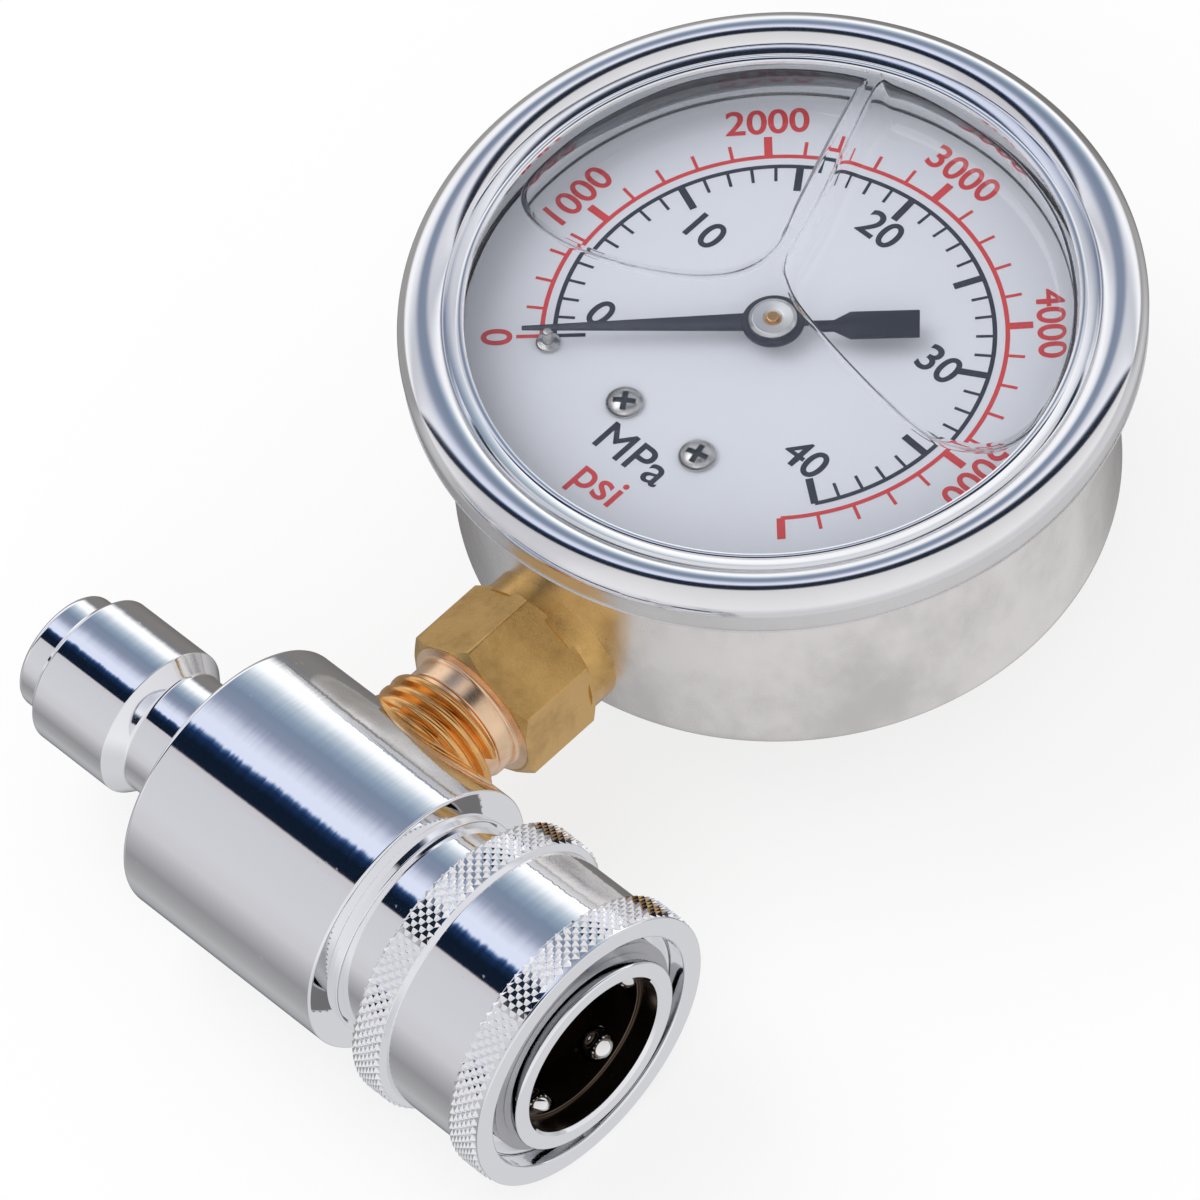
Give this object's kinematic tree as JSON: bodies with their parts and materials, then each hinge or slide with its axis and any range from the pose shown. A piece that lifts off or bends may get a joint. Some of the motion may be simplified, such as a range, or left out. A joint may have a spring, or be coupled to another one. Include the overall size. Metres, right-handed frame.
{
  "type": "pressure washer gauge",
  "caption": "Glycerine-filled pressure gauge on a chrome quick-connect manifold: a plug on one side, a sleeve coupler on the other and a brass stem up to the steel-cased dial.",
  "frame": {"origin": "centre of the bounding box on its lowest plane", "axes": "+X from the plug to the coupler, +Y from the manifold to the gauge, +Z out of the dial"},
  "size_m": [0.068, 0.108, 0.0344],
  "materials": {
    "steel_satin": "satin drawn steel",
    "steel_polished": "polished stainless steel",
    "chrome": "mirror chrome plating",
    "brass": "machined brass",
    "dial_white": "smooth white paint with printed scales",
    "pointer_black": "satin black paint",
    "black_rubber": "smooth rubber",
    "window_glass": "clear window"
  },
  "bodies": {
    "manifold": {"case": "steel_satin", "bezel_ring": "steel_polished", "window": "window_glass", "window_gasket": "black_rubber", "fill_plug": "black_rubber", "dial": "dial_white", "dial_screws": "steel_polished", "stop_pin": "brass", "movement_back": "brass", "movement_front": "brass", "movement_pillars": "brass", "pressure_tube": "brass", "stem_block": "brass", "stem": "brass", "manifold_body": "chrome", "plug": "chrome", "coupler_tube": "chrome", "coupler_seal": "black_rubber", "retaining_ring": "steel_satin", "sleeve_spring": "steel_satin"},
    "pointer": {"pointer": "pointer_black", "pointer_hub": "steel_polished", "pointer_arbor": "brass"},
    "sleeve": {"sleeve": "chrome"},
    "ball_one": {"ball_1": "steel_polished"},
    "ball_two": {"ball_2": "steel_polished"},
    "ball_three": {"ball_3": "steel_polished"},
    "ball_four": {"ball_4": "steel_polished"},
    "ball_five": {"ball_5": "steel_polished"},
    "ball_six": {"ball_6": "steel_polished"}
  },
  "joints": [
    {"name": "pointer_turn", "type": "hinge", "parent": "manifold", "child": "pointer", "pos_m": [-0.00025, 0.02035, 0.0289], "axis": [0, 0, -1], "range_deg": [0, 267], "stiffness_Nm_per_rad": 0.0005, "springref_deg": -2.86},
    {"name": "sleeve_slide", "type": "slide", "parent": "manifold", "child": "sleeve", "axis": [-1, 0, 0], "range_m": [0, 0.004], "stiffness_N_per_m": 400, "springref_m": -0.004, "deforming": ["sleeve_spring"]},
    {"name": "ball_one_slide", "type": "slide", "parent": "manifold", "child": "ball_one", "axis": [0, 0.5, -0.866], "range_m": [0, 0.001]},
    {"name": "ball_two_slide", "type": "slide", "parent": "manifold", "child": "ball_two", "axis": [0, 1, 0], "range_m": [0, 0.001]},
    {"name": "ball_three_slide", "type": "slide", "parent": "manifold", "child": "ball_three", "axis": [0, 0.5, 0.866], "range_m": [0, 0.001]},
    {"name": "ball_four_slide", "type": "slide", "parent": "manifold", "child": "ball_four", "axis": [0, -0.5, 0.866], "range_m": [0, 0.001]},
    {"name": "ball_five_slide", "type": "slide", "parent": "manifold", "child": "ball_five", "axis": [0, -1, 0], "range_m": [0, 0.001]},
    {"name": "ball_six_slide", "type": "slide", "parent": "manifold", "child": "ball_six", "axis": [0, -0.5, -0.866], "range_m": [0, 0.001]}
  ],
  "couplings": [
    {"joint": "ball_one_slide", "follows": "sleeve_slide", "ratio": 0.25},
    {"joint": "ball_two_slide", "follows": "sleeve_slide", "ratio": 0.25},
    {"joint": "ball_three_slide", "follows": "sleeve_slide", "ratio": 0.25},
    {"joint": "ball_four_slide", "follows": "sleeve_slide", "ratio": 0.25},
    {"joint": "ball_five_slide", "follows": "sleeve_slide", "ratio": 0.25},
    {"joint": "ball_six_slide", "follows": "sleeve_slide", "ratio": 0.25}
  ]
}
